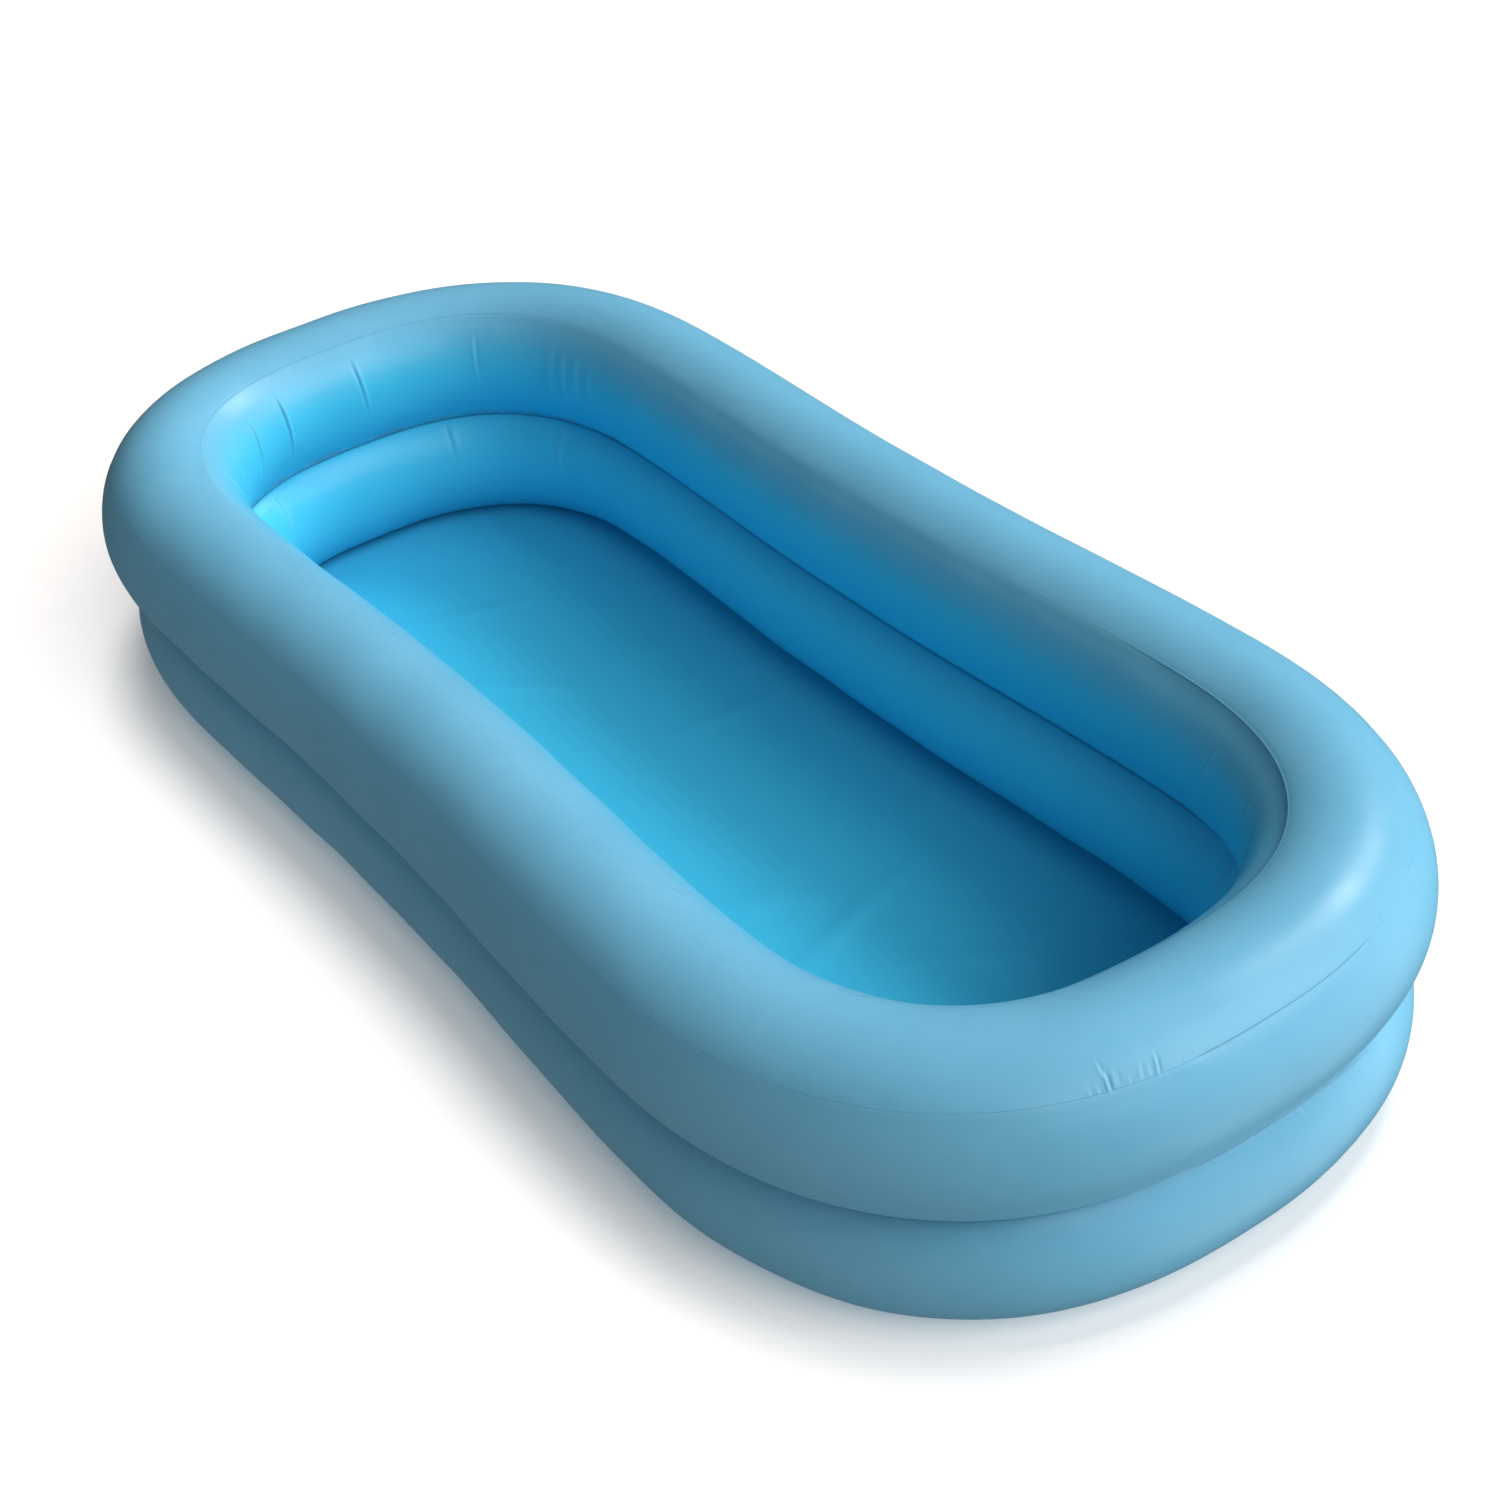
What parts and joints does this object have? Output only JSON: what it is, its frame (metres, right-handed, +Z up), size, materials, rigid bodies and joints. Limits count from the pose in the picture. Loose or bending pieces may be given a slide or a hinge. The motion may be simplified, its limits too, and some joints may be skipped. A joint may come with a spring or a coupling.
{
  "type": "inflatable bathtub",
  "caption": "Oblong free-standing inflatable bathtub with stacked air chambers of welded film, screw air valves and a floor drain plug.",
  "frame": {"origin": "On the ground, below the middle of the tub's bounding box", "axes": "+X towards the foot end (the drain), +Y towards the side with the air valves, +Z up"},
  "size_m": [1.884, 0.84, 0.3136],
  "materials": {
    "film": "semi-gloss blue PVC film with welded seams",
    "valve": "moulded off-white PVC",
    "seal": "matte grey rubber",
    "silicone": "translucent silicone",
    "tether": "soft clear-blue PVC"
  },
  "bodies": {
    "tub": {"top_panel": "film", "upper_outer_wall": "film", "upper_inner_wall": "film", "chamber_divider": "film", "lower_outer_wall": "film", "lower_inner_wall": "film", "floor_sheet": "film", "upper_valve_base": "valve", "upper_valve_tether": "tether", "lower_valve_base": "valve", "lower_valve_tether": "tether", "drain_base": "valve", "drain_tether": "tether"},
    "upper_insert_seal": {"upper_insert_seal": "seal"},
    "upper_insert": {"upper_valve_insert": "valve"},
    "upper_flap": {"upper_valve_flap": "silicone"},
    "upper_cap_seal": {"upper_cap_seal": "seal"},
    "upper_cap": {"upper_valve_cap": "valve"},
    "lower_insert_seal": {"lower_insert_seal": "seal"},
    "lower_insert": {"lower_valve_insert": "valve"},
    "lower_flap": {"lower_valve_flap": "silicone"},
    "lower_cap_seal": {"lower_cap_seal": "seal"},
    "lower_cap": {"lower_valve_cap": "valve"},
    "drain_plug": {"drain_plug": "valve"}
  },
  "joints": [
    {"name": "upper_insert_lift", "type": "slide", "parent": "tub", "child": "upper_insert_seal", "axis": [0, 1, 0], "range_m": [0, 0.0046], "deforming": ["upper_valve_tether"]},
    {"name": "upper_insert_turn", "type": "hinge", "parent": "upper_insert_seal", "child": "upper_insert", "pos_m": [0, 0.4047, 0.2228], "axis": [0, 1, 0], "range_deg": [0, 540]},
    {"name": "upper_flap_open", "type": "slide", "parent": "upper_insert", "child": "upper_flap", "axis": [0, -1, 0], "range_m": [0, 0.0025], "stiffness_N_per_m": 30},
    {"name": "upper_cap_lift", "type": "slide", "parent": "upper_insert", "child": "upper_cap_seal", "axis": [0, 1, 0], "range_m": [0, 0.0016]},
    {"name": "upper_cap_turn", "type": "hinge", "parent": "upper_cap_seal", "child": "upper_cap", "pos_m": [0, 0.4047, 0.2228], "axis": [0, 1, 0], "range_deg": [0, 360]},
    {"name": "lower_insert_lift", "type": "slide", "parent": "tub", "child": "lower_insert_seal", "axis": [0, 1, 0], "range_m": [0, 0.0046], "deforming": ["lower_valve_tether"]},
    {"name": "lower_insert_turn", "type": "hinge", "parent": "lower_insert_seal", "child": "lower_insert", "pos_m": [0, 0.3921, 0.0852], "axis": [0, 1, 0], "range_deg": [0, 540]},
    {"name": "lower_flap_open", "type": "slide", "parent": "lower_insert", "child": "lower_flap", "axis": [0, -1, 0], "range_m": [0, 0.0025], "stiffness_N_per_m": 30},
    {"name": "lower_cap_lift", "type": "slide", "parent": "lower_insert", "child": "lower_cap_seal", "axis": [0, 1, 0], "range_m": [0, 0.0016]},
    {"name": "lower_cap_turn", "type": "hinge", "parent": "lower_cap_seal", "child": "lower_cap", "pos_m": [0, 0.3921, 0.0852], "axis": [0, 1, 0], "range_deg": [0, 360]},
    {"name": "drain_pull", "type": "slide", "parent": "tub", "child": "drain_plug", "axis": [0, 0, 1], "range_m": [0, 0.012], "deforming": ["drain_tether"]}
  ],
  "couplings": [
    {"joint": "upper_insert_lift", "follows": "upper_insert_turn", "m_per_rad": 0.00047746},
    {"joint": "upper_cap_lift", "follows": "upper_cap_turn", "m_per_rad": 0.00023873},
    {"joint": "lower_insert_lift", "follows": "lower_insert_turn", "m_per_rad": 0.00047746},
    {"joint": "lower_cap_lift", "follows": "lower_cap_turn", "m_per_rad": 0.00023873}
  ]
}
